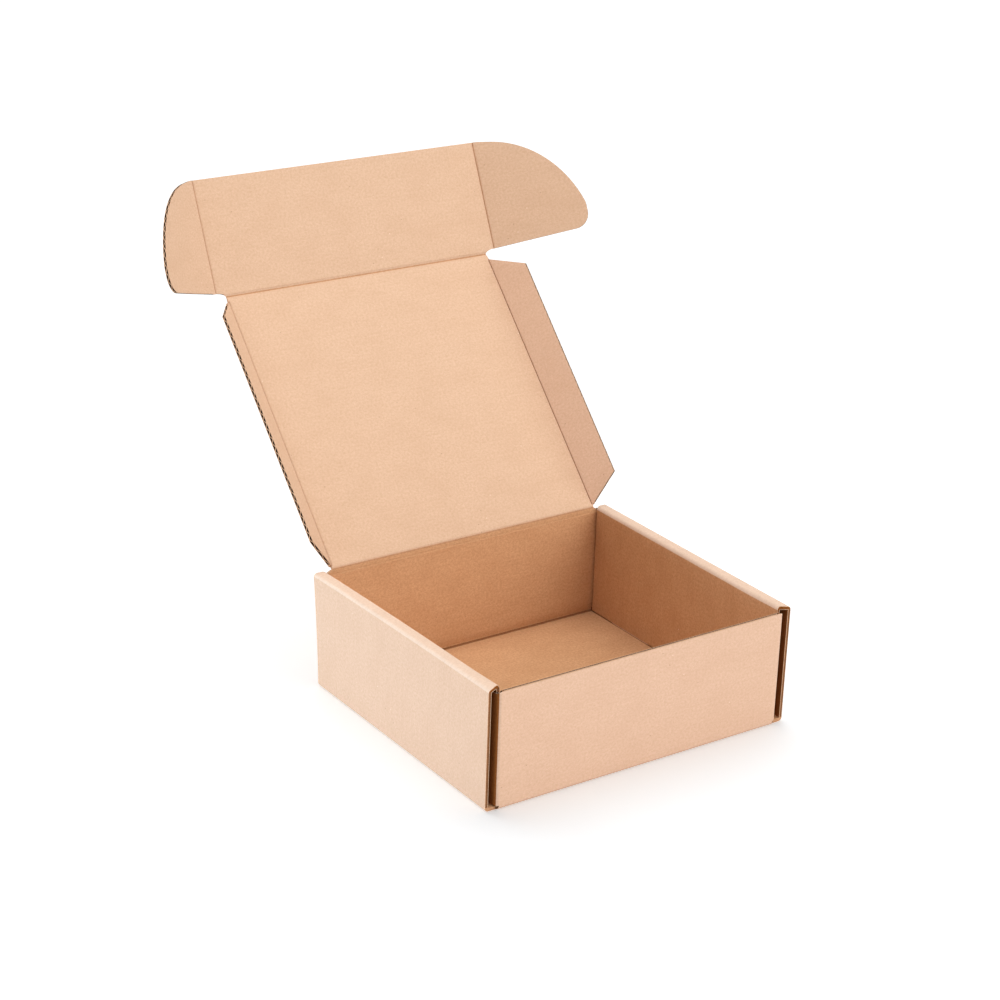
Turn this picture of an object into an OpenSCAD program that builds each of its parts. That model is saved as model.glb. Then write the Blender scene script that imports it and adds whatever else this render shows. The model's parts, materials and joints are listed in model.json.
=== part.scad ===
// Tuck-front mailer box of corrugated kraft board, folded up from one blank and standing open.
// Millimetres, +Z up, front wall towards -Y. The origin is under the middle of the bottom.
// Every crease is an axis in the middle of the board, with the board crushed to an edge on both sides.

/* [Board] */
// Thickness of the board
board_t = 2.5; // [1.5:0.1:4]
// Distance from one flute to the next
flute_pitch = 6.5; // [5:0.1:9]
// Thickness of each liner
liner_t = 0.35; // [0.2:0.05:0.5]
// Thickness of the fluted sheet between the liners
medium_t = 0.3; // [0.2:0.05:0.4]
// Inside radius of a folded edge
fold_in_r = 0.5; // [0.2:0.1:2]

/* [Tray] */
// Width over the side walls
tray_w = 263; // [200:1:360]
// Depth over the front and back walls
tray_d = 227.5; // [190:0.5:320]
// Height of the side walls
tray_h = 91; // [70:1:140]
// Length of the corner tabs between the walls of a side
tab_len = 72; // [40:1:90]
// How much narrower a corner tab gets towards its end, at each edge
tab_taper = 5; // [0:0.5:10]
// Width of a locking tab under an inner wall
lock_w = 46; // [20:1:60]
// Distance of the locking tabs from the middle of the box
lock_y = 60; // [45:1:75]

/* [Lid] */
// Height of the lid's hinge over the side walls
hinge_rise = 0.5; // [0.3:0.1:2]
// Angle of the lid from closed
lid_open = 134; // [90:1:180]
// Height of the lid's side flaps
flap_h = 29; // [20:1:45]
// Slope of a side flap's end beside the hinge
flap_back_slope = 16; // [10:1:30]
// Slope of a side flap's end beside the front flap
flap_front_slope = 20; // [10:1:30]
// Distance of a side flap from the hinge
flap_back_gap = 1.5; // [1.5:0.5:5]
// Distance of a side flap from the front flap
flap_front_gap = 4.5; // [4:0.5:8]
// Fold of the left side flap
flap_fold_left = 48; // [30:1:90]
// Fold of the right side flap
flap_fold_right = 60; // [30:1:90]
// Radius of the notch between a side flap and an ear
notch_r = 3; // [2:0.5:5]

/* [Front flap] */
// Fold of the front flap
front_fold = 19.5; // [0:0.5:90]
// Reach of an ear from its crease
ear_reach = 81; // [60:1:100]
// Radius of an ear's corner beside the lid
ear_corner_r = 12; // [5:1:20]
// Rise of an ear's edge beside the lid, over its whole reach
ear_edge_rise = 1.6; // [0:0.2:6]
// How far the ear's long curve would run past its reach
ear_curve_over = 4; // [2:0.5:12]
// How far behind the lid's crease the ear's long curve has its centre
ear_curve_drop = 4.5; // [0:0.5:10]
// Fold of the ears
ear_fold = 39; // [0:1:90]

/* [Fits] */
// Gap between the side walls' ends and the planes of the front and back walls
side_gap = 0.1; // [0.1:0.1:2]
// Room over and under an ear or a corner tab inside a side wall
slot_room = 0.6; // [0.4:0.1:2]
// Room in the slot of a side wall beyond the thickness of an ear
ear_gap = 0.4; // [0.3:0.1:1.5]
// Gap between a corner tab and the inner wall
tab_gap = 0.15; // [0.1:0.05:0.5]
// Gap between a folded side flap and the inner wall
flap_gap = 0.5; // [0.4:0.1:2]
// Gap between the closed lid and the front wall's edge
rest_gap = 0.25; // [0.2:0.05:1]
// Gap between the closed front flap and the front wall
front_gap = 1.5; // [1.5:0.1:4]
// Height of the closed front flap's edge over the ground
ground_gap = 0.5; // [0.3:0.1:3]
// Room round a locking tab in its slot
lock_gap = 0.3; // [0.2:0.1:1]
// Gap between two crushed edges at a crease
crease_gap = 0.3; // [0.2:0.1:0.8]

/* [Hidden] */

kraft_outside = [0.84, 0.69, 0.55];
kraft_inside = [0.80, 0.62, 0.46];

// Flat pieces that make up one round fold
fold_steps = 5;
// Flat pieces along an ear's long curve
ear_steps = 20;
// Overlap of pieces that are one sheet
lap = 1;
// Reach of a cut past the face that it opens
cut = 1;

half_w = tray_w / 2;
half_d = tray_d / 2;
side_half_d = half_d - board_t - side_gap;
fold_r = board_t + fold_in_r;

// The layers of a side, from outside to inside: outer wall, slot for an ear, corner tab, inner wall
ear_slot = board_t + ear_gap;
tab_x = half_w - board_t - ear_slot;
inner_x = tab_x - board_t - tab_gap - board_t;
tab_top = tray_h - board_t - slot_room;
tab_foot = fold_r + slot_room;
wall_foot = board_t + lock_gap;

// Crease axes of the lid and of what hangs on it
hinge_y = half_d - board_t / 2;
hinge_z = tray_h + hinge_rise;
lid_x = inner_x - flap_gap - board_t / 2;
lid_len = hinge_y + half_d + front_gap + board_t / 2;
front_flap_h = hinge_z - ground_gap;
ear_x = tab_x + ear_slot / 2;
front_wall_h = hinge_z - board_t / 2 - rest_gap;

// Length of a crease's cut, past the ends of every board
crease_cut_len = 3 * (tray_w + tray_d);
// A folded side flap turns past square as the lid comes down, so its crease is crushed wider
square_crush = 1;
wide_crush = 2.3;

// The ear: its edge beside the lid passes under the side wall's top, and its other end over the bottom
ear_edge = hinge_rise + board_t + slot_room;
ear_top = hinge_z - board_t - slot_room;
ear_bevel = front_gap + board_t / 2 + half_d - side_half_d;
ear_curve_reach = ear_reach + ear_curve_over;

// Points of an arc round centre c
function arc(c, r, from, to, steps = fold_steps) = [
    for (i = [0 : steps])
        let (a = from + (to - from) * i / steps)
        [c[0] + r * cos(a), c[1] + r * sin(a)]
];

// Outline of a right ear: [distance from its crease, distance from the lid's crease]
function ear_outline() =
    let (
        edge = ear_edge + ear_edge_rise,
        corner = [ear_reach - ear_corner_r, edge + ear_corner_r],
        from = acos(ear_reach / ear_curve_reach),
        to = acos(ear_bevel / ear_curve_reach)
    )
    concat(
        [[0, ear_edge]],
        arc(corner, ear_corner_r, -90, 0),
        [for (i = [0 : ear_steps])
            let (
                a = from + (to - from) * i / ear_steps,
                s = (ear_top + ear_curve_drop) * sin(a) - ear_curve_drop
            )
            if (s > corner[1])
                [ear_curve_reach * cos(a), s]],
        [[0, front_flap_h]]
    );

// Outline of a right side flap: [distance from its crease, distance from the hinge]
function flap_outline() = [
    [0, flap_back_gap],
    [flap_h, flap_back_gap + flap_back_slope],
    [flap_h, lid_len - flap_front_gap - flap_front_slope],
    [0, lid_len - flap_front_gap]
];

// A flat board, with its middle at z = 0
module board(outline) {
    translate([0, 0, -board_t / 2])
        linear_extrude(board_t)
            polygon(outline);
}

// What the crushing of a crease along Y takes off a board that starts at x = 0
module crease_cut(crush = square_crush) {
    edge = board_t / 2 + cut;
    apex = crease_gap / 2;
    rotate([90, 0, 0])
        linear_extrude(crease_cut_len, center = true)
            polygon([
                [-cut - edge, -edge],
                [apex + edge * crush, -edge],
                [apex, 0],
                [apex + edge * crush, edge],
                [-cut - edge, edge]
            ]);
}

// The same for a crease along X, on a board that starts at y = 0
module crease_cut_x() {
    rotate([0, 0, 90])
        mirror([0, 1, 0])
            crease_cut();
}

// Section of one open flute over a trough of the fluted sheet, centred on y = 0
module flute_section() {
    wave = board_t / 2 - liner_t - medium_t / 2;
    roof = board_t / 2 - liner_t;
    open_angle = 150;
    polygon(concat(
        [for (a = [-open_angle : 50 : open_angle])
            [flute_pitch * a / 360, medium_t / 2 - wave * cos(a)]],
        [[flute_pitch * open_angle / 360, roof], [-flute_pitch * open_angle / 360, roof]]
    ));
}

// Open flutes along X, over and under the fluted sheet, between y = from and y = to
module flutes(from, to, start, reach) {
    count = floor((to - from) / flute_pitch);
    first = from + (to - from - count * flute_pitch) / 2;
    for (i = [0 : count - 1])
        for (half = [0, 1])
            translate([start, first + (i + 0.25 + half / 2) * flute_pitch, 0])
                rotate([180 * half, 0, 0])
                    rotate([90, 0, 90])
                        linear_extrude(reach)
                            flute_section();
}

// A board with a crease at x = 0 and its flutes open at the far edges
module fluted_board(outline, from, to, reach, crush) {
    crushed = board_t * crush;
    difference() {
        board(outline);
        crease_cut(crush);
        flutes(from, to, crushed, reach);
    }
}

// Section of the right side: up the outer wall, over the top and down the inner wall
module side_section() {
    low = [half_w - fold_r, fold_r];
    top_out = [half_w - fold_r, tray_h - fold_r];
    top_in = [inner_x + fold_r, tray_h - fold_r];
    polygon(concat(
        [[half_w - fold_r - lap, 0]],
        arc(low, fold_r, -90, 0),
        arc(top_out, fold_r, 0, 90),
        arc(top_in, fold_r, 90, 180),
        [[inner_x, wall_foot], [inner_x + board_t, wall_foot]],
        arc(top_in, fold_in_r, 180, 90),
        arc(top_out, fold_in_r, 90, 0),
        arc(low, fold_in_r, 0, -90),
        [[half_w - fold_r - lap, board_t]]
    ));
}

// One side with its locking tabs
module side() {
    rotate([90, 0, 0])
        linear_extrude(2 * side_half_d, center = true)
            side_section();
    for (s = [-1, 1])
        translate([inner_x, s * lock_y - lock_w / 2, lock_gap])
            cube([board_t, lock_w, wall_foot + lap - lock_gap]);
}

// The bottom up to the folds round it, with the slots for the locking tabs
module bottom() {
    wall_x = tab_x - fold_r;
    slot_w = board_t + 2 * lock_gap;
    slot_len = lock_w + 2 * lock_gap;
    linear_extrude(board_t)
        difference() {
            square([2 * (half_w - fold_r), 2 * side_half_d], center = true);
            for (s = [-1, 1])
                translate([-wall_x, s * (half_d - fold_r / 2) - fold_r / 2])
                    square([2 * wall_x, fold_r]);
            for (sx = [-1, 1], sy = [-1, 1])
                translate([sx * (inner_x + board_t / 2), sy * lock_y])
                    square([slot_w, slot_len], center = true);
        }
}

// A wall that folds up at the front, from its fold to the points of its upper edge, seen along X
module wall(upper_edge) {
    fold = [fold_r - half_d, fold_r];
    wall_x = tab_x - fold_r;
    rotate([90, 0, 90])
        linear_extrude(2 * wall_x, center = true)
            polygon(concat(
                [[fold[0] + lap, board_t]],
                arc(fold, fold_in_r, 270, 180),
                upper_edge,
                arc(fold, fold_r, 180, 270),
                [[fold[0] + lap, 0]]
            ));
}

// The fold at a wall's right end and the tab behind it
module corner_tab() {
    fold = [tab_x - fold_r, fold_r - half_d];
    end = tab_len - half_d;
    translate([0, 0, tab_foot])
        linear_extrude(tab_top - tab_foot)
            polygon(concat(
                [[fold[0] - lap, -half_d]],
                arc(fold, fold_r, -90, 0),
                [[tab_x, fold[1] + lap], [tab_x - board_t, fold[1] + lap]],
                arc(fold, fold_in_r, 0, -90),
                [[fold[0] - lap, board_t - half_d]]
            ));
    translate([tab_x - board_t, 0, 0])
        rotate([90, 0, 90])
            linear_extrude(board_t)
                polygon([
                    [fold[1], tab_foot],
                    [end, tab_foot + tab_taper],
                    [end, tab_top - tab_taper],
                    [fold[1], tab_top]
                ]);
}

module both_sides() {
    children();
    mirror([1, 0, 0])
        children();
}

module tray() {
    front_y = -half_d;
    crushed = hinge_z - crease_gap / 2;
    color(kraft_outside)
        union() {
            bottom();
            both_sides()
                side();
            wall([[front_y + board_t, front_wall_h], [front_y, front_wall_h]]);
            both_sides()
                corner_tab();
            mirror([0, 1, 0]) {
                intersection() {
                    wall([
                        [front_y + board_t, crushed - board_t / 2],
                        [front_y + board_t / 2, crushed],
                        [front_y, crushed - board_t / 2]
                    ]);
                    back_outline();
                }
                both_sides()
                    corner_tab();
            }
        }
}

// The back wall's outline, lower beside the lid than at its hinge
module back_outline() {
    shoulder = tray_h - board_t / 2;
    translate([0, 0, shoulder / 2])
        cube([tray_w, tray_d, shoulder], center = true);
    translate([0, 0, tray_h / 2])
        cube([2 * lid_x, tray_d, tray_h + 2 * board_t], center = true);
}

// Places a piece in the lid's frame: X along the hinge, Y away from it, Z to the inside
module at_lid() {
    translate([0, hinge_y, hinge_z])
        rotate([180 - lid_open, 0, 0])
            children();
}

// The same for the front flap
module at_front_flap() {
    at_lid()
        translate([0, lid_len, 0])
            rotate([front_fold, 0, 0])
                children();
}

// Round notches at the corners between the lid and the front flap
module notches(y) {
    for (s = [-1, 1])
        translate([s * (lid_x + notch_r / 3), y, 0])
            cylinder(h = 2 * board_t, r = notch_r, center = true, $fn = 12);
}

module lid_panel() {
    color(kraft_inside)
        at_lid()
            difference() {
                board([[-lid_x, 0], [lid_x, 0], [lid_x, lid_len], [-lid_x, lid_len]]);
                crease_cut_x();
                translate([0, lid_len, 0])
                    mirror([0, 1, 0])
                        crease_cut_x();
                both_sides()
                    translate([lid_x, 0, 0])
                        mirror([1, 0, 0])
                            crease_cut(wide_crush);
                notches(lid_len);
            }
}

// A right side flap in the lid's frame
module side_flap(fold) {
    translate([lid_x, 0, 0])
        rotate([0, -fold, 0])
            fluted_board(
                flap_outline(),
                flap_back_gap + board_t, lid_len - flap_front_gap - board_t,
                flap_h, wide_crush
            );
}

module side_flap_right() {
    color(kraft_inside)
        at_lid()
            side_flap(flap_fold_right);
}

module side_flap_left() {
    color(kraft_inside)
        at_lid()
            mirror([1, 0, 0])
                side_flap(flap_fold_left);
}

module front_flap() {
    color(kraft_inside)
        at_front_flap()
            difference() {
                board([
                    [-lid_x, 0], [lid_x, 0], [lid_x, ear_edge], [ear_x, ear_edge],
                    [ear_x, front_flap_h], [-ear_x, front_flap_h], [-ear_x, ear_edge], [-lid_x, ear_edge]
                ]);
                crease_cut_x();
                both_sides()
                    translate([ear_x, 0, 0])
                        mirror([1, 0, 0])
                            crease_cut();
                notches(0);
            }
}

// A right ear in the front flap's frame
module ear() {
    translate([ear_x, 0, 0])
        rotate([0, -ear_fold, 0])
            fluted_board(
                ear_outline(),
                ear_edge + ear_edge_rise + board_t, ear_top - board_t,
                ear_reach, square_crush
            );
}

module ear_right() {
    color(kraft_inside)
        at_front_flap()
            ear();
}

module ear_left() {
    color(kraft_inside)
        at_front_flap()
            mirror([1, 0, 0])
                ear();
}

tray();
lid_panel();
side_flap_left();
side_flap_right();
front_flap();
ear_left();
ear_right();
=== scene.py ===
"""Open tuck-front mailer box of corrugated kraft board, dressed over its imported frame.

Metres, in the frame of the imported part. Every board is a sheet: a path of points with normals, run out along
one direction. A board has two liners and, where its raw edges show, a fluted sheet between them.
"""
import json
import math

import bmesh
import bpy
import numpy as np
from mathutils import Matrix, Vector


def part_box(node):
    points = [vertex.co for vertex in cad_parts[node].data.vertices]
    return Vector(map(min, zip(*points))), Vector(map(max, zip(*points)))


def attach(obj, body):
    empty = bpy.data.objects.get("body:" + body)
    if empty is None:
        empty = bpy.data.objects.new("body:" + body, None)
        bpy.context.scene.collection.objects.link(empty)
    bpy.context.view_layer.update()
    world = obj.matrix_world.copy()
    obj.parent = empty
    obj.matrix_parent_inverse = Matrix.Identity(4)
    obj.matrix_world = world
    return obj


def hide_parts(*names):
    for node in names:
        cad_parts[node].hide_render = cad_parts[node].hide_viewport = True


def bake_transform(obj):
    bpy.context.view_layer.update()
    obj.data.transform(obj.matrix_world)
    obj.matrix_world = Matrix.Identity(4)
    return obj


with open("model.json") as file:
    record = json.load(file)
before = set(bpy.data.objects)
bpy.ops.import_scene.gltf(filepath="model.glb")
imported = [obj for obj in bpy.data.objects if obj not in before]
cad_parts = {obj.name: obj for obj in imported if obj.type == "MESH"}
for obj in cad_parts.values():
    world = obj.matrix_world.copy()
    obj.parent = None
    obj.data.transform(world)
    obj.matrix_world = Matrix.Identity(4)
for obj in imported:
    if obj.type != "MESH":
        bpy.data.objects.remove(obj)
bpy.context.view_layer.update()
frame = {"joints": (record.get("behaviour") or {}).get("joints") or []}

# Board
MM = 0.001
BOARD = 2.5 * MM
LINER = 0.35 * MM
MEDIUM = 0.5 * MM
PITCH = 6.5 * MM
WAVE = BOARD / 2 - LINER - MEDIUM / 2
FOLD = 3.0 * MM
ROLL = 2.6 * MM
ROLL_LIFT = 1.4 * MM
ROLL_TILT = 1.2 * MM
ROLL_FADE = 40 * MM
RECESS = 0.5 * MM
PLUG = 0.3 * MM, 1.3 * MM
FLUTE_STEP = PITCH / 12
HAIR = 0.01 * MM
TIGHT = 0.02 * MM
ARC_STEPS = 8

# Places that the frame gives
JOINTS = {j["name"]: j for j in frame["joints"]}


def joint_at(name):
    return np.array(JOINTS[name]["pos_m"], float)


def joint_axis(name):
    return np.array(JOINTS[name]["axis"], float)


X = np.array([1.0, 0.0, 0.0])
Y = np.array([0.0, 1.0, 0.0])
Z = np.array([0.0, 0.0, 1.0])
HALF_W, HALF_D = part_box("tray")[1][:2]
HINGE = joint_at("lid_hinge")
FRONT_CREASE = joint_at("front_flap_crease")
LID_X = joint_at("side_flap_right_crease")[0]
EAR_X = joint_at("ear_right_crease")[0]
LID_S = -joint_axis("side_flap_right_crease")
FLAP_S = -joint_axis("ear_right_crease")
LID_IN = np.cross(X, LID_S)
FLAP_IN = np.cross(X, FLAP_S)
LID_LEN = float(np.linalg.norm(FRONT_CREASE - HINGE))

# Tray
HINGE_RISE = 0.5 * MM
WALL_TOP = HINGE[2] - HINGE_RISE
ROLL_TOP = WALL_TOP + ROLL_LIFT
EAR_ROOM = 0.4 * MM
TAB_ROOM = 0.15 * MM
SIDE_ROOM = 0.1 * MM
LID_ROOM = 0.25 * MM
TAB_X = HALF_W - 2 * BOARD - EAR_ROOM
INNER_X = TAB_X - 2 * BOARD - TAB_ROOM
WALL_X = TAB_X - FOLD
SIDE_HALF_D = HALF_D - BOARD - SIDE_ROOM
FRONT_TOP = HINGE[2] - BOARD / 2 - LID_ROOM
SLOT_ROOM = 0.6 * MM
TAB_FOOT = FOLD + SLOT_ROOM
TAB_TOP = WALL_TOP - BOARD - SLOT_ROOM
TAB_LEN = 72 * MM
TAB_TAPER = 5 * MM
LOCK_W = 46 * MM
LOCK_Y = 60 * MM
LOCK_GAP = 0.3 * MM
FOOT_ROOM = 0.8 * MM
WALL_FOOT = BOARD + FOOT_ROOM
BACK_SLIT = 1.5 * MM
FRONT_SLIT = 2.5 * MM
FRONT_INSET = {-1: 1.5 * MM, 1: 3.0 * MM}
INSET_FADE = 45 * MM
SHADE_FROM = 0.45 * FOLD
CORNER_CRUSH = 0.55
CORNER_CRUSH_W = 1.2 * MM
FOOT_LINE = 0.4 * MM
FOOT_LINE_H = 0.08 * MM
LEAN = 4.2 * MM
BOW = 0.5 * MM

# Lid and flaps
SIDE_FOLD = {"left": 48.0, "right": 60.0}
SIDE_FLAP_H = 29 * MM
FLAP_BACK_GAP = 1.5 * MM
FLAP_BACK_SLOPE = 16 * MM
FLAP_FRONT_GAP = 4.5 * MM
FLAP_FRONT_SLOPE = 20 * MM
NOTCH_IN = 0.6 * MM
NOTCH_TIP = LID_X - NOTCH_IN
FLOOR_ROOM = 0.5 * MM
FRONT_FLAP_H = HINGE[2] - FLOOR_ROOM
EAR_FOLD = 39.0
EAR_REACH = 81 * MM
EAR_BOW = {"left": 3.0 * MM, "right": 0.0}
EAR_CORNER = 12 * MM
EAR_EDGE = HINGE_RISE + BOARD + SLOT_ROOM
EAR_SLOPE = 1.6 * MM
EAR_EDGE_END = EAR_EDGE + EAR_SLOPE
EAR_STEP = 1.0 * MM
EAR_TOP = FRONT_FLAP_H - EAR_STEP
EAR_LEVEL = 14 * MM
EAR_DROP = 4.5 * MM
EAR_PAST = 4 * MM
EAR_CURVE = EAR_REACH + EAR_PAST

# Creases: half widths of the crushed strips, and the dents in them
CREASE = 2.2 * MM
SIDE_CREASE = 3.0 * MM
HINGE_BAND = 4.2 * MM
BEND = 0.9 * MM
BACK_DENT = 0.2
BACK_DENT_W = 1.0 * MM
BAND_SCORE = 0.25
BAND_SCORE_AT = 0.7 * MM
BAND_SCORE_W = 0.5 * MM


def srgb(r, g, b):
    """A colour given as display values from 0 to 255, as the linear values that a shader takes."""
    shares = (c / 255 for c in (r, g, b))
    return tuple(((c + 0.055) / 1.055) ** 2.4 if c > 0.04 else c / 12.92 for c in shares) + (1.0,)


# Materials


def node(tree, kind, **values):
    """A shader node with its properties and its inputs set; an input is named in_ and its name or number."""
    made = tree.nodes.new(kind)
    for key, value in values.items():
        if not key.startswith("in_"):
            setattr(made, key, value)
            continue
        name = key[3:]
        socket = made.inputs[int(name)] if name.isdigit() else made.inputs[name.replace("_", " ")]
        if isinstance(value, bpy.types.NodeSocket):
            tree.links.new(value, socket)
        else:
            socket.default_value = value
    return made


def math_node(tree, operation, a, b=0.0):
    return node(tree, "ShaderNodeMath", operation=operation, in_0=a, in_1=b).outputs[0]


def ramp(tree, value, low, high, to_low=0.0, to_high=1.0):
    return node(
        tree, "ShaderNodeMapRange", in_Value=value, in_1=low, in_2=high, in_3=to_low, in_4=to_high
    ).outputs[0]


def board_noise(tree, at, along, across, detail=3.0, rough=0.6):
    """Noise on the board with so many features a metre along and across the flutes."""
    stretched = node(tree, "ShaderNodeMapping", in_Vector=at, in_Scale=(along, across, 1.0)).outputs[0]
    return node(
        tree, "ShaderNodeTexNoise", noise_dimensions="2D", in_Vector=stretched, in_Scale=1.0,
        in_Detail=detail, in_Roughness=rough,
    ).outputs[0]


def specks(tree, at, per_metre, size, share):
    """1 in small round specks in that share of the cells, and 0 elsewhere."""
    cells = node(
        tree, "ShaderNodeTexVoronoi", voronoi_dimensions="2D", in_Vector=at, in_Scale=per_metre,
        in_Randomness=1.0,
    )
    near = ramp(tree, cells.outputs["Distance"], size, size * 0.4)
    few = math_node(tree, "GREATER_THAN", node(
        tree, "ShaderNodeSeparateColor", in_Color=cells.outputs["Color"]
    ).outputs[0], 1 - share)
    return math_node(tree, "MULTIPLY", near, few)


def tint(tree, colour, factor, other):
    """Mixes other into colour by a factor socket."""
    mixed = node(tree, "ShaderNodeMix", data_type="RGBA", in_0=factor)
    for socket, value in ((mixed.inputs[6], colour), (mixed.inputs[7], other)):
        if isinstance(value, bpy.types.NodeSocket):
            tree.links.new(value, socket)
        else:
            socket.default_value = value
    return mixed.outputs[2]


def blank_material(name, gloss=0.18):
    made = bpy.data.materials.new(name)
    made.use_nodes = True
    tree = made.node_tree
    shader = tree.nodes["Principled BSDF"]
    shader.inputs["Specular IOR Level"].default_value = gloss
    return made, tree, shader


def kraft(name, base, dark, light, ridges, gloss=0.18):
    """Kraft liner: cloudy pulp, short fibres, a few specks, and the flutes faintly showing through."""
    made, tree, shader = blank_material(name, gloss)
    at = node(tree, "ShaderNodeUVMap", uv_map="Board").outputs[0]
    clouds = board_noise(tree, at, 35, 60, 2.0)
    mottle = board_noise(tree, at, 480, 600, 4.0, 0.75)
    fibres = board_noise(tree, at, 900, 1500, 3.0, 0.7)
    across = node(tree, "ShaderNodeSeparateXYZ", in_0=at).outputs[1]
    turns = math_node(tree, "MULTIPLY", across, 2 * math.pi / PITCH)
    flutes = math_node(tree, "COSINE", turns)

    colour = tint(tree, base, ramp(tree, mottle, 0.36, 0.68, 0.0, 0.6), dark)
    colour = tint(tree, colour, ramp(tree, fibres, 0.5, 0.85, 0.0, 0.45), light)
    colour = tint(tree, colour, ramp(tree, clouds, 0.35, 0.75, 0.0, 0.2), dark)
    colour = tint(tree, colour, ramp(tree, flutes, 0.2, 1.0, 0.0, ridges), dark)
    bark = math_node(tree, "MULTIPLY", specks(tree, at, 150, 0.075, 0.014), 0.5)
    colour = tint(tree, colour, bark, srgb(120, 80, 50))
    pale = math_node(tree, "MULTIPLY", specks(tree, at, 90, 0.06, 0.01), 0.4)
    colour = tint(tree, colour, pale, srgb(250, 232, 210))
    tree.links.new(colour, shader.inputs["Base Color"])
    tree.links.new(ramp(tree, mottle, 0.3, 0.7, 0.78, 0.92), shader.inputs["Roughness"])

    height = math_node(tree, "ADD", math_node(tree, "MULTIPLY", flutes, 0.35 * ridges), fibres)
    bump = node(tree, "ShaderNodeBump", in_Strength=0.22, in_Distance=0.15 * MM, in_Height=height)
    tree.links.new(bump.outputs[0], shader.inputs["Normal"])
    return made


def raw_edge(name, base, dark):
    """The cut edge of a liner or of the fluted sheet: rougher and darker than its face; in dark brown, the
    painted shade in the open flutes.
    """
    made, tree, shader = blank_material(name)
    at = node(tree, "ShaderNodeUVMap", uv_map="Board").outputs[0]
    crumbs = board_noise(tree, at, 900, 900, 3.0, 0.7)
    tree.links.new(tint(tree, base, ramp(tree, crumbs, 0.35, 0.7), dark), shader.inputs["Base Color"])
    shader.inputs["Roughness"].default_value = 0.95
    bump = node(tree, "ShaderNodeBump", in_Strength=0.5, in_Distance=0.1 * MM, in_Height=crumbs)
    tree.links.new(bump.outputs[0], shader.inputs["Normal"])
    return made


OUTSIDE = kraft("kraft_outside", srgb(214, 179, 154), srgb(195, 156, 128), srgb(230, 201, 180), 0.06)
INSIDE = kraft("kraft_inside", srgb(214, 180, 152), srgb(193, 155, 124), srgb(229, 202, 179), 0.05)
# A darker, more saturated copy of the inside liner for the tray's inside: painted shade.
INSIDE_SHADE = kraft("kraft_deep", srgb(210, 163, 122), srgb(176, 126, 84), srgb(232, 194, 158), 0.06)
EDGE = raw_edge("kraft_edge", srgb(226, 188, 156), srgb(188, 148, 116))
# Dark brown for the board's faces inside it and for the fluted sheet, seen in the open flutes: painted shade
# in their hollows.
HOLLOW_SHADE = raw_edge("fluted_core", srgb(58, 37, 23), srgb(34, 20, 12))
# Score brown: crushed paper in the creases with painted shade of their grooves, and painted shade in the
# flutes at the front wall's top and on the cut edges under the side walls.
SCORE_AND_SHADE = kraft("kraft_score", srgb(194, 148, 112), srgb(164, 116, 80), srgb(206, 162, 126), 0.0)
# Seam brown: painted shade in the tray's inside folds, along the inner walls' feet and in the open flutes at
# cut ends.
SEAM_SHADE = kraft("kraft_seam", srgb(138, 92, 57), srgb(108, 68, 40), srgb(160, 112, 74), 0.0)
# A paler copy of the liner for the rolled tops of the side walls: painted highlight where the light falls on
# them.
TOP_HIGHLIGHT = kraft("kraft_worn", srgb(223, 196, 175), srgb(205, 176, 153), srgb(235, 215, 199), 0.0)
SHADE = kraft("kraft_shade", srgb(146, 88, 44), srgb(116, 66, 30), srgb(168, 110, 64), 0.0, 0.0)

# Material slots of every piece: the first holds its own liner, the others these papers; besides the cut edge
# they are painted shade and highlight, the score also crushed paper
PAPERS = EDGE, HOLLOW_SHADE, INSIDE_SHADE, SCORE_AND_SHADE, SEAM_SHADE, TOP_HIGHLIGHT, SHADE
FACE, CUT, SHADED_HOLLOW, SHADED_INSIDE, SCORED_AND_SHADED, SHADED_SEAM, HIGHLIT_TOP, SHADED = range(len(PAPERS) + 1)


# Sheets


SAME_POINT = 0.001 * MM
NO_LENGTH = 0.0001 * MM
SHARP = 32


class Sheet:
    """Points along a path, each run out along one direction from lo to hi, and offset along its normal."""

    def __init__(self, points, normals, run, lo, hi, cuts=2, flutes_run=True):
        self.points = np.asarray(points, float)
        self.normals = np.asarray(normals, float)
        self.run = np.asarray(run, float)
        n = len(self.points)
        lo, hi = np.broadcast_to(lo, n), np.broadcast_to(hi, n)
        share = np.linspace(0, 1, cuts) if np.isscalar(cuts) else np.asarray(cuts)
        self.out = lo[:, None] + (hi - lo)[:, None] * share[None, :]
        steps = np.linalg.norm(np.diff(self.points, axis=0), axis=1)
        along = np.broadcast_to(np.concatenate([[0], np.cumsum(steps)])[:, None], self.out.shape)
        self.uv = np.stack([self.out, along] if flutes_run else [along, self.out], -1)

    def at(self, h):
        """The grid of points at a height over the middle of the board."""
        h = np.broadcast_to(np.asarray(h, float), self.out.shape)
        flat = self.points[:, None, :] + self.out[..., None] * self.run
        return flat + h[..., None] * self.normals[:, None, :]

    def wave(self):
        """Height of the fluted sheet's middle."""
        return WAVE * np.cos(2 * math.pi * self.uv[..., 1] / PITCH)


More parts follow.
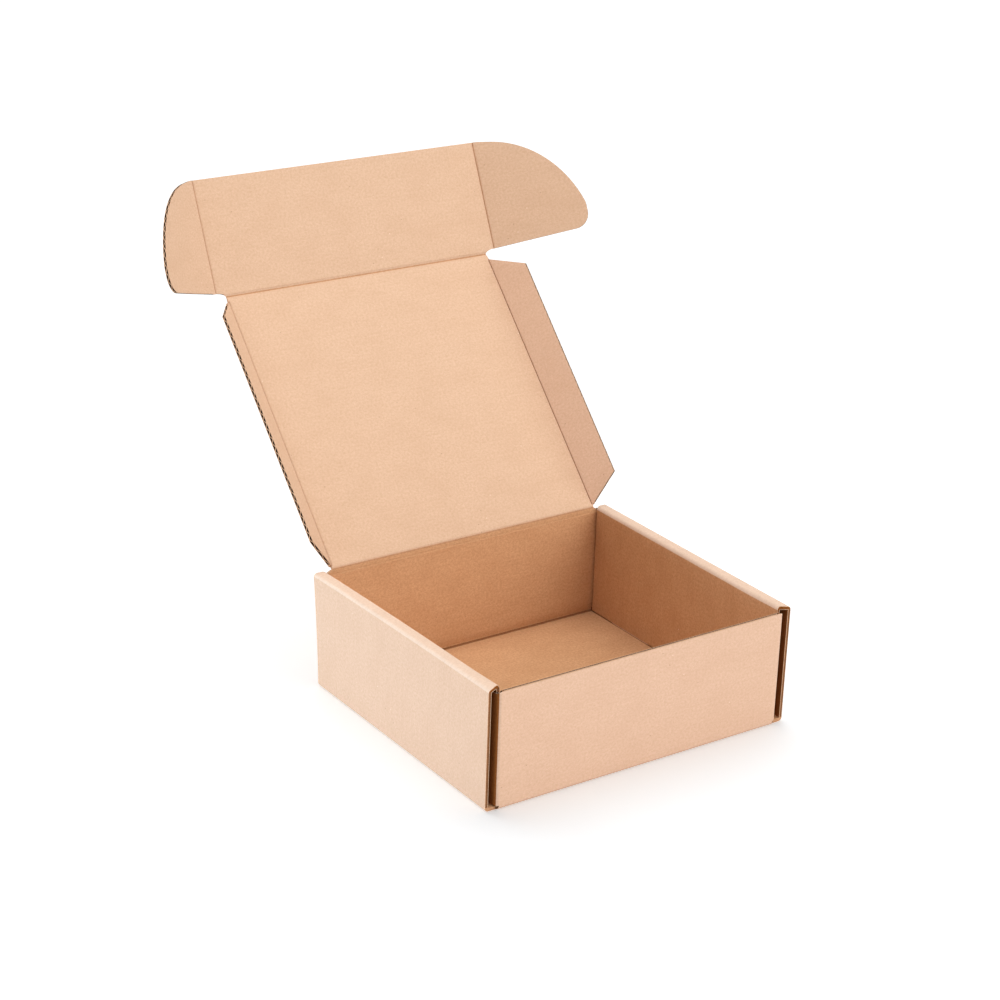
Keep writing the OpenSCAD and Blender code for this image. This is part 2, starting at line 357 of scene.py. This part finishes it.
class Skin:
    """Gathers the faces of one piece."""

    def __init__(self):
        self.points, self.faces, self.uvs, self.kinds = [], [], [], []
        self.count = 0

    def slab(self, sheet, low, high, faces=(FACE, FACE), edge=CUT, keep=None):
        """A closed plate between two heights over a sheet, without the cells that keep leaves out.

        faces are the materials of its low and high side, each one number or one for every step of the path.
        """
        bottom, top = sheet.at(low), sheet.at(high)
        n, m = sheet.out.shape
        base = self.count
        self.points += [bottom.reshape(-1, 3), top.reshape(-1, 3)]
        self.count += 2 * n * m
        flat_uv = sheet.uv.reshape(-1, 2)
        keep = np.ones((n - 1, m - 1), bool) if keep is None else keep
        low_kind, high_kind = (np.broadcast_to(kind, n - 1) for kind in faces)
        tangent = sheet.points[1] - sheet.points[0]
        turned = np.dot(np.cross(tangent, sheet.run), sheet.normals[0]) < 0

        def add(corners, kind):
            corners = corners[::-1] if turned else corners
            self.faces.append([base + c for c in corners])
            self.uvs.append([flat_uv[c % (n * m)] for c in corners])
            self.kinds.append(kind)

        for i in range(n - 1):
            for j in range(m - 1):
                if not keep[i, j]:
                    continue
                a, b, c, d = i * m + j, (i + 1) * m + j, (i + 1) * m + j + 1, i * m + j + 1
                up = n * m
                add([a + up, b + up, c + up, d + up], int(high_kind[i]))
                add([d, c, b, a], int(low_kind[i]))
                for p, q, ni, nj in ((a, b, i, j - 1), (b, c, i + 1, j), (c, d, i, j + 1), (d, a, i - 1, j)):
                    inside = 0 <= ni < n - 1 and 0 <= nj < m - 1 and keep[ni, nj]
                    if not inside:
                        add([p, q, q + up, p + up], edge)

    def liners(self, sheet, faces=(FACE, FACE), keep=None):
        # The liners' faces inside the board take the painted shade of the flutes' hollows.
        half = BOARD / 2
        self.slab(sheet, half - LINER, half, (SHADED_HOLLOW, faces[1]), keep=keep)
        self.slab(sheet, -half, LINER - half, (faces[0], SHADED_HOLLOW), keep=keep)

    def core(self, sheet, kind=SHADED_HOLLOW):
        # By default the fluted sheet takes the painted shade of the flutes' hollows.
        wave = sheet.wave()
        self.slab(sheet, wave - MEDIUM / 2, wave + MEDIUM / 2, (kind, kind))

    def plug(self, points, normals, run, end, inward, keep=None, kind=SHADED_SEAM):
        """Closes a cut end between the liners with the flank of a flute, a little back from their edges, in a
        dark brown that paints the shade in the open flutes.
        """
        first, last = (np.broadcast_to(end + inward * back, len(points)) for back in PLUG)
        inside = BOARD / 2 - LINER
        sheet = Sheet(points, normals, run, np.minimum(first, last), np.maximum(first, last))
        self.slab(sheet, -inside, inside, (kind, kind), kind, keep)

    def piece(self, name, face, slot, warp=None):
        """The mesh object, smooth except over its sharp edges."""
        points = np.concatenate(self.points)
        if warp:
            points = warp(points)
        mesh = bpy.data.meshes.new(name)
        mesh.from_pydata(points.tolist(), [], self.faces)
        for material in (face, *PAPERS):
            mesh.materials.append(material)
        mesh.polygons.foreach_set("material_index", self.kinds)
        layer = mesh.uv_layers.new(name="Board")
        corners = np.concatenate([np.array(u) for u in self.uvs])
        layer.data.foreach_set("uv", corners.astype(np.float32).ravel())
        clean = bmesh.new()
        clean.from_mesh(mesh)
        bmesh.ops.remove_doubles(clean, verts=clean.verts, dist=SAME_POINT)
        bmesh.ops.dissolve_degenerate(clean, edges=clean.edges, dist=NO_LENGTH)
        clean.to_mesh(mesh)
        clean.free()
        mesh.shade_smooth()
        mesh.set_sharp_from_angle(angle=math.radians(SHARP))
        made = bpy.data.objects.new(name, mesh)
        bpy.context.scene.collection.objects.link(made)
        return made


def trace(start, heading, moves, step=6 * MM):
    """Points, and normals to the left, of a flat path of straight moves and turns."""
    at, angle = np.array(start, float), math.radians(heading)
    points, normals = [], []

    def put(p, a):
        points.append(p.copy())
        normals.append([-math.sin(a), math.cos(a)])

    put(at, angle)
    for kind, amount, *more in moves:
        if kind == "go":
            count = max(1, int(math.ceil(amount / (more[0] if more else step))))
            origin = at.copy()
            for i in range(1, count + 1):
                at = origin + amount * i / count * np.array([math.cos(angle), math.sin(angle)])
                put(at, angle)
        else:
            turn, r = math.radians(amount), more[0]
            side = 1 if turn > 0 else -1
            centre = at + side * r * np.array([-math.sin(angle), math.cos(angle)])
            for i in range(1, ARC_STEPS + 1):
                a = angle + turn * i / ARC_STEPS
                at = centre - side * r * np.array([-math.sin(a), math.cos(a)])
                put(at, a)
            angle += turn
    return np.array(points), np.array(normals)


def in_plane(flat, u, v):
    """Flat points or normals set into space along u and v."""
    return flat[:, :1] * u + flat[:, 1:] * v


# Tray

MID_R = FOLD - BOARD / 2
CORE_BACK = 2 * MM


def bottom_and_walls():
    """Front wall, bottom and back wall, one sheet up to the band under the hinge."""
    near, fine = 2.5 * MM, 0.5 * MM
    scored = [("go", near, fine), ("turn", 90, MID_R), ("go", near, fine)]
    up_front = FRONT_TOP - FOLD - near
    up_back = HINGE[2] - HINGE_BAND - FOLD - near
    across = 2 * (HALF_D - FOLD - near)
    flat, left = trace(
        (BOARD / 2 - HALF_D, FRONT_TOP), -90,
        [("go", up_front), *scored, ("go", across), *scored, ("go", up_back)],
    )
    slot_in = INNER_X - TIGHT
    outs = np.unique(np.concatenate([np.linspace(-WALL_X, WALL_X, 41), [-slot_in, slot_in]]))
    points, normals = in_plane(flat, Y, Z), in_plane(left, Y, Z)
    on_front = np.clip(left[:, 0], 0, 1)
    sheet = Sheet(
        points, normals, X, FRONT_INSET[-1] * on_front - WALL_X, WALL_X - FRONT_INSET[1] * on_front,
        (outs + WALL_X) / (2 * WALL_X),
    )
    middle = (points[:-1] + points[1:]) / 2
    in_slot = (middle[:, 2] < BOARD) & (np.abs(np.abs(middle[:, 1]) - LOCK_Y) < LOCK_W / 2 + TIGHT)
    keep = ~(in_slot[:, None] & (np.abs((outs[:-1] + outs[1:]) / 2) > slot_in)[None, :])
    corner = np.hypot(HALF_D - FOLD - np.abs(flat[:, 0]), FOLD - flat[:, 1])
    crushed = np.exp(-((corner - MID_R) / CORNER_CRUSH_W) ** 2)
    half = BOARD / 2
    high = half * (1 - CORNER_CRUSH * crushed)[:, None]
    # Inside, the folds take the seam brown and the rest the darker interior copy of the liner: painted shade
    # in both.
    shaded_fold = np.abs(np.diff(left, axis=0)).sum(1) > 1e-6
    skin = Skin()
    skin.slab(sheet, high - LINER, high, (SHADED_HOLLOW, np.where(shaded_fold, SHADED_SEAM, SHADED_INSIDE)), keep=keep)
    skin.slab(sheet, -half, LINER - half, (FACE, SHADED_HOLLOW), keep=keep)
    skin.plug(points, normals, X, FRONT_INSET[-1] * on_front - WALL_X, 1, ~in_slot[:, None])
    skin.plug(points, normals, X, WALL_X - FRONT_INSET[1] * on_front, -1, ~in_slot[:, None])
    flat, left = trace((BOARD / 2 - HALF_D, FRONT_TOP - RECESS), -90, [("go", 3 * PITCH)], step=PITCH / 10)
    lo, hi = FRONT_INSET[-1] + CORE_BACK - WALL_X, WALL_X - FRONT_INSET[1] - CORE_BACK
    # The flutes at the front wall's top take the score brown: painted shade in their hollows.
    skin.core(Sheet(in_plane(flat, Y, Z), in_plane(left, Y, Z), X, lo, hi, 3), SCORED_AND_SHADED)
    return skin


def side_wall(skin, mirror):
    """Outer wall, rolled-over top and inner wall of one side, with its locking tabs."""
    moves = [
        ("go", HALF_W - FOLD - WALL_X), ("turn", 90, MID_R), ("go", ROLL_TOP - FOLD - ROLL),
        ("turn", 90, ROLL - BOARD / 2), ("go", HALF_W - INNER_X - FOLD - ROLL), ("turn", 90, MID_R),
        ("go", ROLL_TOP - FOLD - WALL_FOOT),
    ]
    flat, left = trace((WALL_X, BOARD / 2), 0, moves)
    across = mirror * X
    points, normals = in_plane(flat, across, Z), in_plane(left, across, Z)
    foot = int(np.argmax(flat[:, 1] > FOLD - HAIR))
    under = Sheet(points[:foot + 1], normals[:foot + 1], Y, -SIDE_HALF_D, SIDE_HALF_D, 33, flutes_run=False)
    # Under the side wall the inside takes the darker interior copy and the cut edges the score brown: painted
    # shade in both.
    skin.slab(under, -BOARD / 2, BOARD / 2, (FACE, SHADED_INSIDE), edge=SCORED_AND_SHADED)
    flat, left, points, normals = flat[foot:], left[foot:], points[foot:], normals[foot:]
    inward = (flat[:-1, 0] < INNER_X + BOARD) & (left[:-1, 0] > 0.5)
    over = (flat[:-1, 1] > ROLL_TOP - ROLL) & (flat[:-1, 0] > INNER_X + MM)
    # Over the roll the outside takes the paler copy (painted highlight); the inner wall's inside takes the
    # darker interior copy, and the faces between the walls, seen through the slots, the dark brown shade
    # (painted shade).
    kinds = np.where(over, HIGHLIT_TOP, np.where(inward, SHADED_INSIDE, FACE)), SHADED
    back = SIDE_HALF_D - BACK_SLIT * np.clip(left[:, 0], 0, 1)
    from_outer = (HALF_W - BOARD - flat[:, 0]) / (HALF_W - 2 * BOARD - INNER_X)
    front = FRONT_SLIT * np.clip(from_outer, 0, 1) - SIDE_HALF_D
    skin.liners(Sheet(points, normals, Y, front, back, 33, flutes_run=False), kinds)
    skin.plug(points, normals, Y, front, 1, over[:, None], SHADED)
    skin.plug(points, normals, Y, front, 1, ~over[:, None])
    skin.plug(points, normals, Y, back, -1)
    for end in (-1, 1):
        tab = np.array([[INNER_X + BOARD / 2, LOCK_GAP], [INNER_X + BOARD / 2, WALL_FOOT]])
        face = np.array([[-1.0, 0.0], [-1.0, 0.0]])
        sheet = Sheet(
            in_plane(tab, across, Z), in_plane(face, across, Z), Y,
            end * LOCK_Y - LOCK_W / 2, end * LOCK_Y + LOCK_W / 2, 2, flutes_run=False,
        )
        skin.slab(sheet, -BOARD / 2, BOARD / 2)


def ease(share):
    """From 0 to 1, flat at both ends."""
    share = np.clip(share, 0, 1)
    return share * share * (3 - 2 * share)


def corner_tab(skin, mirror, front):
    """The fold at a wall's end and the tab behind it, between the walls of a side."""
    flat, left = trace(
        (WALL_X, BOARD / 2 - HALF_D), 0, [("turn", 90, MID_R), ("go", TAB_LEN - FOLD)],
    )
    length = np.concatenate([[0], np.cumsum(np.linalg.norm(np.diff(flat, axis=0), axis=1))])
    taper = TAB_TAPER * np.clip((length - length[ARC_STEPS]) / (length[-1] - length[ARC_STEPS]), 0, 1)
    shoulder = (FRONT_TOP - TAB_TOP) * (1 - ease(length / FOLD))
    if front > 0:
        flat[:, 0] -= FRONT_INSET[mirror] * (1 - ease(length / INSET_FADE))
    sheet = Sheet(
        in_plane(flat, mirror * X, front * Y), in_plane(left, mirror * X, front * Y), Z,
        TAB_FOOT + taper, TAB_TOP - taper + shoulder, 15, flutes_run=False,
    )
    # On the front tabs, the fold past SHADE_FROM and the tab behind it take the dark brown shade, and the
    # tabs' inside the darker interior copy: painted shade in the slot and in the tray.
    slot_shade = np.where(length[:-1] > SHADE_FROM, SHADED, FACE) if front > 0 else FACE
    skin.liners(sheet, (slot_shade, SHADED_INSIDE))


def foot_line(skin, mirror):
    """A thin dark strip on the bottom along an inner wall: painted shade in the joint between them."""
    flat = np.array([[INNER_X - FOOT_LINE, BOARD], [INNER_X + FOOT_LINE, BOARD]])
    points, normals = in_plane(flat, mirror * X, Z), np.array([Z, Z])
    reach = SIDE_HALF_D - BACK_SLIT
    skin.slab(Sheet(points, normals, Y, -reach, reach, 3), 0, FOOT_LINE_H, (SHADED_SEAM, SHADED_SEAM), SHADED_SEAM)


def lean(points):
    """How the set-up tray sits.

    The left side's back corner stands out at the top, the rolled tops tilt up inwards at their front ends,
    and no wall is quite flat.
    """
    moved = points.copy()
    x, y, z = points.T
    high = np.clip(z / WALL_TOP, 0, 1)
    back = np.clip((y + HALF_D) / (2 * HALF_D), 0, 1)
    bottom_x, bottom_y = 0.9 * INNER_X, 0.95 * HALF_D
    sides = np.clip((np.abs(x) - bottom_x) / (INNER_X - bottom_x), 0, 1) * np.sign(x)
    moved[:, 0] += LEAN * np.minimum(sides, 0) * high ** 1.5 * back ** 2
    moved[:, 0] += BOW * sides * np.sin(math.pi * high) * np.cos(math.pi * y / (2 * HALF_D))
    end = ease((ROLL_FADE - HALF_D - y) / ROLL_FADE) * (y > -SIDE_HALF_D - TIGHT)
    inner = np.clip((HALF_W - np.abs(x)) / (HALF_W - INNER_X), 0, 1) * (np.abs(x) > INNER_X - TIGHT)
    moved[:, 2] += ROLL_TILT * end * inner * np.clip((z - TAB_TOP) / (ROLL_TOP - TAB_TOP), 0, 1)
    walls = np.clip((np.abs(y) - bottom_y) / (HALF_D - bottom_y), 0, 1) * np.sign(y)
    moved[:, 1] += BOW * walls * np.sin(math.pi * high) * np.cos(math.pi * x / (2 * HALF_W))
    return moved


def build_tray():
    skin = bottom_and_walls()
    for mirror in (-1, 1):
        side_wall(skin, mirror)
        foot_line(skin, mirror)
        for front in (1, -1):
            corner_tab(skin, mirror, front)
    tray = skin.piece("tray_board", OUTSIDE, "kraft_outside", lean)
    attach(tray, "tray")
    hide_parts("tray")
    return tray


# Lid, flaps and ears

CORE_IN = 0.05 * MM
FLAP_CORE_IN = 0.2 * MM


def straight(origin, along, inside, lengths):
    """Path points and normals along a straight line."""
    lengths = np.asarray(lengths, float)
    return origin + lengths[:, None] * along, np.repeat(inside[None, :], len(lengths), 0)


def notch_reach(from_crease, depth, reach):
    """Half width of the board beside the notch, at a distance from the crease between lid and front flap."""
    share = np.clip(np.asarray(from_crease) / depth, 0, 1)
    return NOTCH_TIP + (reach - NOTCH_TIP) * (1 - np.sqrt(1 - share ** 2))


def build_lid():
    notch = LID_LEN - FLAP_FRONT_GAP
    lengths = np.concatenate([
        np.linspace(CREASE, notch, 40), np.linspace(notch + HAIR, LID_LEN - CREASE, 6),
    ])
    beside = lengths > notch
    reach = np.where(beside, notch_reach(LID_LEN - lengths, FLAP_FRONT_GAP, LID_X), LID_X - SIDE_CREASE)
    points, normals = straight(HINGE, LID_S, LID_IN, lengths)
    skin = Skin()
    skin.slab(Sheet(points, normals, X, -reach, reach, 41), -BOARD / 2, BOARD / 2)
    lid = skin.piece("lid_board", INSIDE, "kraft_inside")
    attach(lid, "lid")
    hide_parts("lid_panel")


def fold_frame(side, fold, inside):
    """Direction away from a crease at the side, and the inner normal of the board behind it."""
    a = math.radians(fold)
    out = X if side == "right" else -X
    return math.cos(a) * out + math.sin(a) * inside, math.cos(a) * inside - math.sin(a) * out


def fluted_piece(name, body, cad_node, origin, along, out, inside, lengths, reach, start, warp=None):
    """A board with open flutes at its far edges: two liners and the fluted sheet."""
    skin = Skin()
    points, normals = straight(origin, along, inside, lengths)
    skin.liners(Sheet(points, normals, out, start, np.maximum(reach(lengths), start), 9))
    fine = np.arange(lengths[0] + RECESS, lengths[-1] - RECESS, FLUTE_STEP)
    points, normals = straight(origin, along, inside, fine)
    skin.core(Sheet(points, normals, out, start, np.maximum(reach(fine) - CORE_IN, start), 3))
    made = skin.piece(name, INSIDE, "kraft_inside", warp)
    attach(made, body)
    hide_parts(cad_node)


def side_flap_reach(lengths):
    low, high = FLAP_BACK_GAP, LID_LEN - FLAP_FRONT_GAP
    rise = (lengths - low) / FLAP_BACK_SLOPE
    fall = (high - lengths) / FLAP_FRONT_SLOPE
    return SIDE_FLAP_H * np.clip(np.minimum(rise, fall), 0, 1)


def build_side_flap(side):
    sign = 1 if side == "right" else -1
    out, inside = fold_frame(side, SIDE_FOLD[side], LID_IN)
    low, high = FLAP_BACK_GAP, LID_LEN - FLAP_FRONT_GAP
    share = SIDE_CREASE / SIDE_FLAP_H
    first, last = low + share * FLAP_BACK_SLOPE, high - share * FLAP_FRONT_SLOPE
    lengths = np.concatenate([
        np.linspace(first, low + FLAP_BACK_SLOPE, 8)[:-1],
        np.linspace(low + FLAP_BACK_SLOPE, high - FLAP_FRONT_SLOPE, 31),
        np.linspace(high - FLAP_FRONT_SLOPE, last, 8)[1:],
    ])
    fluted_piece(
        f"side_flap_{side}_board", f"side_flap_{side}", f"side_flap_{side}",
        HINGE + sign * LID_X * X, LID_S, out, inside, lengths, side_flap_reach, SIDE_CREASE,
    )


def ear_curve():
    """Reaches along an ear's upper outline, and their distances from the lid's crease."""
    reach = EAR_CURVE * np.sin(np.linspace(0, math.pi / 2, 60))
    height = (EAR_TOP + EAR_DROP) * np.sqrt(1 - (reach / EAR_CURVE) ** 2) - EAR_DROP
    return reach, height + (FRONT_FLAP_H - EAR_TOP) * (1 - ease(reach / EAR_LEVEL))


def ear_reach(lengths):
    """Reach of an ear from its crease, by the distance from the lid's crease."""
    lengths = np.asarray(lengths, float)
    foot = (EAR_REACH - EAR_CORNER) * np.clip((lengths - EAR_EDGE) / (EAR_EDGE_END - EAR_EDGE), 0, 1)
    over = np.clip(EAR_EDGE_END + EAR_CORNER - lengths, 0, EAR_CORNER)
    corner = EAR_REACH - EAR_CORNER + np.sqrt(np.clip(EAR_CORNER ** 2 - over ** 2, 0, None))
    reach, height = ear_curve()
    upper = np.interp(lengths, height[::-1], reach[::-1])
    return np.where(lengths < EAR_EDGE_END, foot, np.minimum(corner, upper))


def ear_lengths():
    """Distances from the lid's crease, closer together where the ear's outline turns."""
    reach, height = ear_curve()
    corner = EAR_EDGE_END + EAR_CORNER * (1 - np.cos(np.linspace(0, math.pi / 2, 14)))
    start = EAR_EDGE + (EAR_EDGE_END - EAR_EDGE) * np.linspace(CREASE / (EAR_REACH - EAR_CORNER), 1, 6)
    return np.unique(np.concatenate([
        start, corner, height[(height > EAR_EDGE_END + EAR_CORNER) & (reach > CREASE)],
    ]))


def build_ear(side):
    sign = 1 if side == "right" else -1
    out, inside = fold_frame(side, EAR_FOLD, FLAP_IN)
    origin = FRONT_CREASE + sign * EAR_X * X

    def bow(points):
        share = np.clip((points - origin) @ out / EAR_REACH, 0, 1)
        return points + EAR_BOW[side] * (share ** 2)[:, None] * inside

    fluted_piece(
        f"ear_{side}_board", f"ear_{side}", f"ear_{side}",
        origin, FLAP_S, out, inside, ear_lengths(), ear_reach, CREASE, bow,
    )


def front_flap_reach(lengths):
    return np.minimum(notch_reach(lengths, EAR_EDGE, EAR_X), EAR_X - CREASE)


def build_front_flap():
    lengths = np.concatenate([
        np.linspace(CREASE, EAR_EDGE, 12)[:-1], np.linspace(EAR_EDGE, FRONT_FLAP_H, 24),
    ])
    reach = front_flap_reach(lengths)
    points, normals = straight(FRONT_CREASE, FLAP_S, FLAP_IN, lengths)
    skin = Skin()
    skin.liners(Sheet(points, normals, X, -reach, reach, 41))
    fine = np.arange(CREASE, FRONT_FLAP_H - RECESS, FLUTE_STEP)
    reach = front_flap_reach(fine) - FLAP_CORE_IN
    points, normals = straight(FRONT_CREASE, FLAP_S, FLAP_IN, fine)
    skin.core(Sheet(points, normals, X, -reach, reach, 3))
    flap = skin.piece("front_flap_board", INSIDE, "kraft_inside")
    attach(flap, "front_flap")
    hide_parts("front_flap")


# Creases


def leg_steps(width):
    """Distances from a crease, closer together beside it."""
    close = np.array([0, 0.12, 0.25, 0.4, 0.6, 0.9, 1.3, 1.8]) * MM
    return np.concatenate([close, np.linspace(close[-1], width, 6)[1:]])


def crease(name, axis_at, run, lo, hi, legs, faces, widths, crush, band=False,
           soft=0.8 * MM, line=0.42 * MM):
    """The scored strip of board over a crease, between the two bodies.

    legs are the directions away from the crease, faces the inner normals there, widths the reach on each leg.
    A band has a second score at the far end of its first leg, and leans back to the crease from there.
    lo and hi take the distance from the crease, positive on the second leg; soft and line are the half widths
    of the groove and of the darker score in it, crushed paper with painted shade of the groove.
    """
    first, second = leg_steps(widths[0])[::-1], leg_steps(widths[1])[1:]
    side = np.concatenate([-first, second])
    away = np.abs(side)
    turn = ease(0.5 + 0.5 * side / BEND)[:, None]
    points = axis_at + np.where(side[:, None] > 0, legs[1], legs[0]) * away[:, None]
    normals = (1 - turn) * faces[0] + turn * faces[1]
    normals /= np.linalg.norm(normals, axis=1)[:, None]
    scored = np.exp(-(away / soft) ** 2)
    lines = away < line
    if band:
        scored = np.where(side < 0, 1 - away / widths[0], scored)
        scored = scored + BAND_SCORE * np.exp(-((side + widths[0] - BAND_SCORE_AT) / BAND_SCORE_W) ** 2)
    inner = BOARD / 2 * (1 - crush * scored)
    outer = BOARD / 2 * (1 - BACK_DENT * np.exp(-(away / BACK_DENT_W) ** 2))
    # The back wall's part of the hinge band takes the darker interior copy: painted shade.
    plain = np.where(band & (side[:-1] < 0), SHADED_INSIDE, FACE)
    skin = Skin()
    sheet = Sheet(points, normals, run, lo(side), hi(side), 25)
    skin.slab(sheet, -outer[:, None], inner[:, None], (FACE, np.where(lines[:-1] & lines[1:], SCORED_AND_SHADED, plain)))
    made = skin.piece(name, INSIDE, "kraft_inside")
    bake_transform(made)


def beside_notch(side):
    """Half width of the board along the crease between lid and front flap."""
    lid, flap = notch_reach(-side, FLAP_FRONT_GAP, LID_X), notch_reach(side, EAR_EDGE, EAR_X)
    return np.where(side < 0, lid, flap)


def hinge_reach(side):
    """Half width of the board along the hinge, wider below it where the back wall begins."""
    return LID_X + (WALL_X - LID_X) * np.clip(-2 * side / HINGE_BAND, 0, 1)


def flap_back(side):
    return np.maximum(FLAP_BACK_GAP + FLAP_BACK_SLOPE * np.clip(side / SIDE_FLAP_H, 0, 1), CREASE)


def flap_front(side):
    return LID_LEN - FLAP_FRONT_GAP - FLAP_FRONT_SLOPE * np.clip(side / SIDE_FLAP_H, 0, 1)


def build_creases():
    crease("hinge_crease", HINGE, X, lambda side: -hinge_reach(side), hinge_reach,
           (-Z, LID_S), (-Y, LID_IN), (HINGE_BAND, CREASE), 0.6, band=True)
    crease("front_flap_crease", FRONT_CREASE, X,
           lambda side: -beside_notch(side), beside_notch,
           (-LID_S, FLAP_S), (LID_IN, FLAP_IN), (CREASE, CREASE), 0.7, soft=1.6 * MM, line=0.7 * MM)
    for name, sign in (("left", -1), ("right", 1)):
        out, inside = fold_frame(name, SIDE_FOLD[name], LID_IN)
        crease(f"side_flap_{name}_crease", HINGE + sign * LID_X * X, LID_S,
               flap_back, flap_front, (-sign * X, out), (LID_IN, inside), (SIDE_CREASE, SIDE_CREASE), 0.75)
        out, inside = fold_frame(name, EAR_FOLD, FLAP_IN)
        crease(f"ear_{name}_crease", FRONT_CREASE + sign * EAR_X * X, FLAP_S,
               lambda side: EAR_EDGE, lambda side: FRONT_FLAP_H,
               (-sign * X, out), (FLAP_IN, inside), (CREASE, CREASE), 0.6)


# Camera, floor and light


def build_camera():
    """The photograph's viewpoint, fitted to the edges of the box."""
    lens_px, frame_px, shift_px, sensor = 2455.0, 1000, 3, 36.0
    azimuth, elevation, roll = (math.radians(a) for a in (-35.064, 22.359, 1.938))
    level = math.sin(azimuth) * X - math.cos(azimuth) * Y
    back = math.cos(elevation) * level + math.sin(elevation) * Z
    right = np.cross(-back, Z)
    right /= np.linalg.norm(right)
    up = np.cross(back, right)
    right, up = math.cos(roll) * right + math.sin(roll) * up, math.cos(roll) * up - math.sin(roll) * right
    aim_height, distance, pan_right, pan_up = 40 * MM, 1802.5 * MM, 36.7 * MM, -110.95 * MM
    eye = aim_height * Z + distance * back - pan_right * right - pan_up * up
    data = bpy.data.cameras.new("camera")
    data.sensor_width = sensor
    data.lens = lens_px / frame_px * sensor
    data.shift_y = shift_px / frame_px
    data.dof.use_dof = False
    camera = bpy.data.objects.new("camera", data)
    turned = Matrix((right, up, back)).transposed().to_4x4()
    camera.matrix_world = Matrix.Translation(Vector(eye)) @ turned
    bpy.context.scene.collection.objects.link(camera)
    bpy.context.scene.camera = camera


def seen_ray(tree):
    """1 for rays that show the background: from the camera, off gloss or through glass."""
    path = node(tree, "ShaderNodeLightPath")
    either = math_node(tree, "MAXIMUM", path.outputs["Is Camera Ray"], path.outputs["Is Glossy Ray"])
    return math_node(tree, "MAXIMUM", either, path.outputs["Is Transmission Ray"])


def build_floor():
    """A wide white floor that fades into the white background and keeps the box's shadow."""
    size, white_share = 12.0, 0.4
    mesh = bpy.data.meshes.new("floor")
    corners = [(-size, -size, 0), (size, -size, 0), (size, size, 0), (-size, size, 0)]
    mesh.from_pydata(corners, [], [(0, 1, 2, 3)])
    material = bpy.data.materials.new("floor")
    material.use_nodes = True
    tree = material.node_tree
    tree.nodes.remove(tree.nodes["Principled BSDF"])
    matt = node(tree, "ShaderNodeBsdfDiffuse", in_Color=(0.85, 0.89, 0.92, 1)).outputs[0]
    white = node(tree, "ShaderNodeEmission", in_Color=(1, 1, 1, 1), in_Strength=white_share).outputs[0]
    both = node(tree, "ShaderNodeAddShader", in_0=matt, in_1=white)
    tree.links.new(both.outputs[0], tree.nodes["Material Output"].inputs["Surface"])
    mesh.materials.append(material)
    floor = bpy.data.objects.new("floor", mesh)
    bpy.context.scene.collection.objects.link(floor)
    return floor


def build_world(level):
    world = bpy.data.worlds.new("studio")
    bpy.context.scene.world = world
    world.use_nodes = True
    tree = world.node_tree
    strength = ramp(tree, seen_ray(tree), 0.0, 1.0, level, 1.0)
    background = tree.nodes["Background"]
    background.inputs["Color"].default_value = (1, 1, 1, 1)
    tree.links.new(strength, background.inputs["Strength"])


def lamp(name, data, place, target):
    """A lamp at a place, turned to a target."""
    made = bpy.data.objects.new(name, data)
    made.location = place
    made.rotation_euler = (Vector(target) - Vector(place)).to_track_quat("-Z", "Y").to_euler()
    made.visible_camera = False
    bpy.context.scene.collection.objects.link(made)
    return made


def soft_sun(name, place, target, strength, spread, colour):
    data = bpy.data.lights.new(name, "SUN")
    data.energy = strength
    data.angle = math.radians(spread)
    data.color = colour
    return lamp(name, data, place, target)


def card(name, place, target, width, height, power, colour):
    """A card beside the box that throws light back on it."""
    data = bpy.data.lights.new(name, "AREA")
    data.shape = "RECTANGLE"
    data.size, data.size_y = width, height
    data.energy = power
    data.color = colour
    return lamp(name, data, place, target)


def shine_on(made, things, state):
    """Lets a lamp light everything but some things, or nothing but them."""
    group = bpy.data.collections.new(f"{made.name}_{state.lower()}")
    for thing in things:
        group.objects.link(thing)
    for linked in group.collection_objects:
        linked.light_linking.link_state = state
    made.light_linking.receiver_collection = group


def build_light(floor, tray):
    """Soft light from the front right and from above, weaker from the left, and cards for single pieces.

    The floor has a light of its own, so that it stays white around the shadow.
    """
    middle, wall_foot = (0, 0.05, 0.12), (0, 0.05, 0.05)
    white = (1.0, 1.0, 1.0)
    flap = [bpy.data.objects[f"side_flap_right_{part}"] for part in ("board", "crease")]
    build_world(0.22)
    for name, place, strength, spread, colour, state, things in (
        ("key", (1.5, -1.6, 1.45), 1.8, 60, (1.0, 0.985, 0.97), "EXCLUDE", (floor,)),
        ("top", (-0.1, -0.2, 2.0), 1.74, 60, white, "EXCLUDE", (floor,)),
        ("rim", (-1.2, 1.0, 0.8), 0.9, 50, (1.0, 0.93, 0.87), "EXCLUDE", (floor,)),
        ("fill", (-1.4, -0.9, 0.35), 0.95, 45, (1.0, 0.94, 0.89), "EXCLUDE", (floor, tray)),
        ("front", (0.15, -1.6, 0.7), 0.64, 30, (1.0, 0.95, 0.92), "INCLUDE", (tray,)),
        ("side", (-1.2, 1.0, 0.45), 0.6, 40, (1.0, 0.94, 0.9), "INCLUDE", (tray,)),
        ("back", (0.5, 1.2, 2.2), 2.25, 80, white, "INCLUDE", (floor,)),
        ("flap_card", (-1.5, -0.35, 0.5), 0.47, 30, (0.68, 0.7, 1.0), "INCLUDE", flap),
    ):
        shine_on(soft_sun(name, place, middle, strength, spread, colour), things, state)
    left_card = card("left_card", (-0.85, 0.25, 0.06), wall_foot, 0.8, 0.12, 4.2, (0.48, 0.775, 1.0))
    shine_on(left_card, (tray,), "INCLUDE")


tray_board = build_tray()
build_lid()
build_front_flap()
for side in ("left", "right"):
    build_side_flap(side)
    build_ear(side)
build_creases()
build_camera()
build_light(build_floor(), tray_board)
bpy.context.scene.view_settings.view_transform = "Standard"
